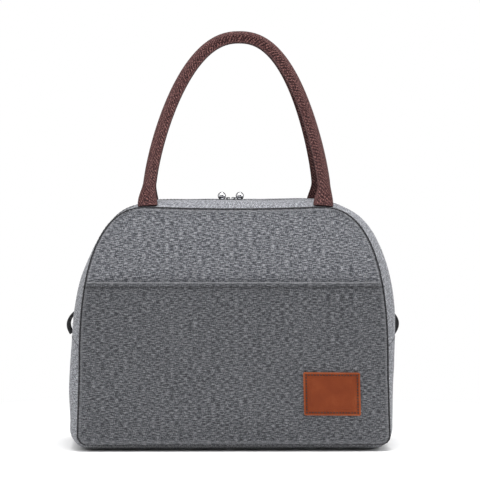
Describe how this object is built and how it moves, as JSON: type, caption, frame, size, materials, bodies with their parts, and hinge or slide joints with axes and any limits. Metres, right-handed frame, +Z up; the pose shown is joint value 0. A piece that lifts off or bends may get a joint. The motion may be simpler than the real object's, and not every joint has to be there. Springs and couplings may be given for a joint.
{
  "type": "lunch box",
  "caption": "Soft insulated lunch bag with an arched front, a crown zip with ball pulls, an open front pocket, a leather patch and rope-cored grab handles.",
  "frame": {"origin": "middle of the footprint, on the surface that the bag stands on", "axes": "+X to the right of someone facing the pocket, -Y towards that person, +Z up"},
  "size_m": [0.2858, 0.1703, 0.358],
  "materials": {
    "cloth": "heathered woven polyester",
    "foam": "closed-cell foam sheet",
    "liner": "aluminised film, satin",
    "board": "plain board",
    "tape": "woven tape",
    "teeth": "nylon coil",
    "chrome": "polished",
    "leather": "grained and waxed",
    "webbing": "twill webbing",
    "rope": "braided cotton",
    "binding": "folded tape"
  },
  "bodies": {
    "bag": {"front_panel": "cloth", "back_panel": "cloth", "left_side_panel": "cloth", "right_side_panel": "cloth", "base_panel": "cloth", "front_pocket_panel": "cloth", "front_left_zip_cover": "cloth", "front_right_zip_cover": "cloth", "rear_left_zip_cover": "cloth", "rear_right_zip_cover": "cloth", "leather_patch": "leather", "front_foam": "foam", "back_foam": "foam", "base_foam": "foam", "left_gusset_foam": "foam", "right_gusset_foam": "foam", "front_liner": "liner", "back_liner": "liner", "base_liner": "liner", "left_gusset_liner": "liner", "right_gusset_liner": "liner", "base_board": "board", "front_seam_binding": "binding", "rear_seam_binding": "binding", "front_left_zip_tape": "tape", "front_right_zip_tape": "tape", "rear_left_zip_tape": "tape", "rear_right_zip_tape": "tape", "front_left_zip_teeth": "teeth", "front_right_zip_teeth": "teeth", "rear_left_zip_teeth": "teeth", "rear_right_zip_teeth": "teeth", "left_zip_tab": "tape", "right_zip_tab": "tape", "left_zip_stop": "chrome", "right_zip_stop": "chrome", "front_left_handle_foot": "webbing", "front_right_handle_foot": "webbing", "rear_left_handle_foot": "webbing", "rear_right_handle_foot": "webbing"},
    "front_flap": {"front_flap_cover": "cloth", "front_flap_foam": "foam", "front_flap_liner": "liner", "front_flap_tape": "tape", "front_flap_teeth": "teeth"},
    "rear_flap": {"rear_flap_cover": "cloth", "rear_flap_foam": "foam", "rear_flap_liner": "liner", "rear_flap_tape": "tape", "rear_flap_teeth": "teeth"},
    "front_handle": {"front_handle_webbing": "webbing", "front_handle_rope": "rope"},
    "rear_handle": {"rear_handle_webbing": "webbing", "rear_handle_rope": "rope"},
    "left_slider_body": {"left_slider": "chrome"},
    "right_slider_body": {"right_slider": "chrome"},
    "left_pull_body": {"left_pull": "chrome"},
    "right_pull_body": {"right_pull": "chrome"}
  },
  "joints": [
    {"name": "front_flap_lift", "type": "hinge", "parent": "bag", "child": "front_flap", "pos_m": [0, -0.0787, 0.206], "axis": [1, 0, 0], "range_deg": [0, 40], "deforming": ["front_flap_tape", "front_flap_teeth"]},
    {"name": "rear_flap_lift", "type": "hinge", "parent": "bag", "child": "rear_flap", "pos_m": [0, 0.0787, 0.206], "axis": [-1, 0, 0], "range_deg": [0, 40], "deforming": ["rear_flap_tape", "rear_flap_teeth"]},
    {"name": "left_slider_run", "type": "slide", "parent": "bag", "child": "left_slider_body", "axis": [-1, 0, 0], "range_m": [0, 0.05]},
    {"name": "right_slider_run", "type": "slide", "parent": "bag", "child": "right_slider_body", "axis": [1, 0, 0], "range_m": [0, 0.05]},
    {"name": "left_pull_swing", "type": "hinge", "parent": "left_slider_body", "child": "left_pull_body", "pos_m": [-0.0035, 0, 0.21035], "axis": [0, 1, 0], "range_deg": [0, 48]},
    {"name": "right_pull_swing", "type": "hinge", "parent": "right_slider_body", "child": "right_pull_body", "pos_m": [0.0009, 0, 0.21035], "axis": [0, -1, 0], "range_deg": [0, 48]},
    {"name": "front_handle_swing", "type": "hinge", "parent": "bag", "child": "front_handle", "pos_m": [0, -0.0795, 0.2066], "axis": [1, 0, 0], "range_deg": [0, 150]},
    {"name": "rear_handle_swing", "type": "hinge", "parent": "bag", "child": "rear_handle", "pos_m": [0, 0.0795, 0.2066], "axis": [-1, 0, 0], "range_deg": [0, 150]}
  ],
  "couplings": [
    {"joint": "rear_flap_lift", "follows": "front_flap_lift", "ratio": 1},
    {"joint": "left_slider_run", "follows": "front_flap_lift", "m_per_rad": 0.0716},
    {"joint": "right_slider_run", "follows": "front_flap_lift", "m_per_rad": 0.0716}
  ]
}
